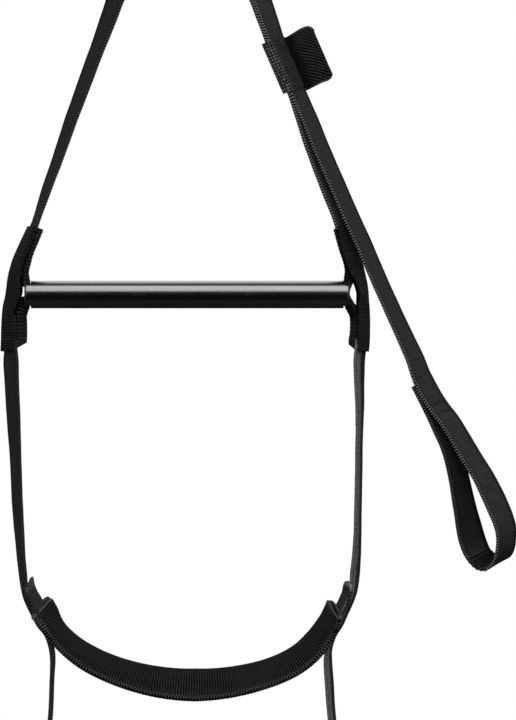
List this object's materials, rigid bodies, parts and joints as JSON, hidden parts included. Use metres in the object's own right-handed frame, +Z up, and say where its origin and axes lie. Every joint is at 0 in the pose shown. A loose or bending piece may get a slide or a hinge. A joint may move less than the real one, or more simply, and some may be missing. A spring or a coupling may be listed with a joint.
{
  "type": "webbing foot ladder",
  "caption": "Hanging webbing foot ladder with a rigid tube as its top step, soft foot steps below it and a grab strap that ends in a hand loop.",
  "frame": {"origin": "centre of the sewn clip-in eye's bore", "axes": "+Z up, +X along the bar towards the grab strap's side, +Y away from the viewer"},
  "size_m": [0.415, 0.0679, 1.0964],
  "materials": {
    "webbing": "black nylon webbing, plain weave",
    "cover_weave": "black ribbed nylon webbing",
    "keeper_weave": "black coarse basket-weave nylon",
    "thread": "black bonded thread",
    "bar_finish": "gloss black anodised aluminium tube",
    "plastic": "black moulded nylon"
  },
  "bodies": {
    "head": {"clip_eye": "webbing", "eye_bartacks": "thread", "grab_strap_end": "webbing"},
    "upper_frame": {"left_riser_top_fold": "webbing", "right_riser_top_fold": "webbing", "grab_strap_top_fold": "webbing", "left_upper_riser": "webbing", "right_upper_riser": "webbing", "left_bar_sleeve": "cover_weave", "right_bar_sleeve": "cover_weave", "grab_strap_upper": "webbing", "spreader_bar": "bar_finish", "left_bar_plug": "plastic", "right_bar_plug": "plastic", "left_bar_retainer": "webbing", "right_bar_retainer": "webbing", "left_sleeve_bartacks": "thread", "right_sleeve_bartacks": "thread", "keeper_wrap": "keeper_weave", "keeper_stitching": "thread"},
    "keeper_flap": {"keeper_flap": "keeper_weave"},
    "grab_strap": {"grab_strap_fold": "webbing", "grab_strap_lower": "webbing"},
    "hand_loop": {"hand_loop_fold": "webbing", "hand_loop": "webbing", "hand_loop_bartack": "thread"},
    "middle_frame": {"left_riser_middle_fold": "webbing", "right_riser_middle_fold": "webbing", "left_middle_riser": "webbing", "right_middle_riser": "webbing", "step_1_left_cover_end": "cover_weave", "step_1_right_cover_end": "cover_weave", "step_1_left_tail": "webbing", "step_1_right_tail": "webbing", "step_1_bartacks": "thread"},
    "step_1": {"step_1_cover": "cover_weave", "step_1_strap": "webbing", "step_1_stiffener": "plastic", "step_1_seam": "thread"},
    "lower_frame": {"left_riser_lower_fold": "webbing", "right_riser_lower_fold": "webbing", "left_lower_riser": "webbing", "right_lower_riser": "webbing", "step_2_left_cover_end": "cover_weave", "step_2_right_cover_end": "cover_weave", "step_2_left_tail": "webbing", "step_2_right_tail": "webbing", "step_2_bartacks": "thread"},
    "step_2": {"step_2_cover": "cover_weave", "step_2_strap": "webbing", "step_2_stiffener": "plastic", "step_2_seam": "thread"}
  },
  "joints": [
    {"name": "ladder_swing", "type": "hinge", "parent": "head", "child": "upper_frame", "pos_m": [0, 0, -0.054], "axis": [1, 0, 0], "range_deg": [-90, 90], "deforming": ["left_riser_top_fold", "right_riser_top_fold", "grab_strap_top_fold"]},
    {"name": "middle_fold", "type": "hinge", "parent": "upper_frame", "child": "middle_frame", "pos_m": [0, 0, -0.499], "axis": [1, 0, 0], "range_deg": [-90, 90], "deforming": ["left_riser_middle_fold", "right_riser_middle_fold"]},
    {"name": "lower_fold", "type": "hinge", "parent": "middle_frame", "child": "lower_frame", "pos_m": [0, 0, -0.74593], "axis": [1, 0, 0], "range_deg": [-90, 90], "deforming": ["left_riser_lower_fold", "right_riser_lower_fold"]},
    {"name": "step_1_tilt", "type": "hinge", "parent": "middle_frame", "child": "step_1", "pos_m": [0, 0, -0.70552], "axis": [1, 0, 0], "range_deg": [-75, 45], "deforming": ["step_1_left_cover_end", "step_1_right_cover_end", "step_1_left_tail", "step_1_right_tail"]},
    {"name": "step_2_tilt", "type": "hinge", "parent": "lower_frame", "child": "step_2", "pos_m": [0, 0, -1.02552], "axis": [1, 0, 0], "range_deg": [-75, 45], "deforming": ["step_2_left_cover_end", "step_2_right_cover_end", "step_2_left_tail", "step_2_right_tail"]},
    {"name": "grab_swing", "type": "hinge", "parent": "upper_frame", "child": "grab_strap", "pos_m": [0.08996, -0.00139, -0.28394], "axis": [-0.4844, -0.8572, -0.1749], "range_deg": [0, 100], "deforming": ["grab_strap_fold"]},
    {"name": "loop_fold", "type": "hinge", "parent": "grab_strap", "child": "hand_loop", "pos_m": [0.18741, -0.00891, -0.50093], "axis": [-0.7716, -0.5697, -0.2829], "range_deg": [-8, 75], "deforming": ["hand_loop_fold"]},
    {"name": "flap_fold", "type": "hinge", "parent": "upper_frame", "child": "keeper_flap", "pos_m": [0.08818, 0.00726, -0.24753], "axis": [-0.3395, 0, 0.9406], "range_deg": [-90, 60], "stiffness_Nm_per_rad": 0.02}
  ]
}
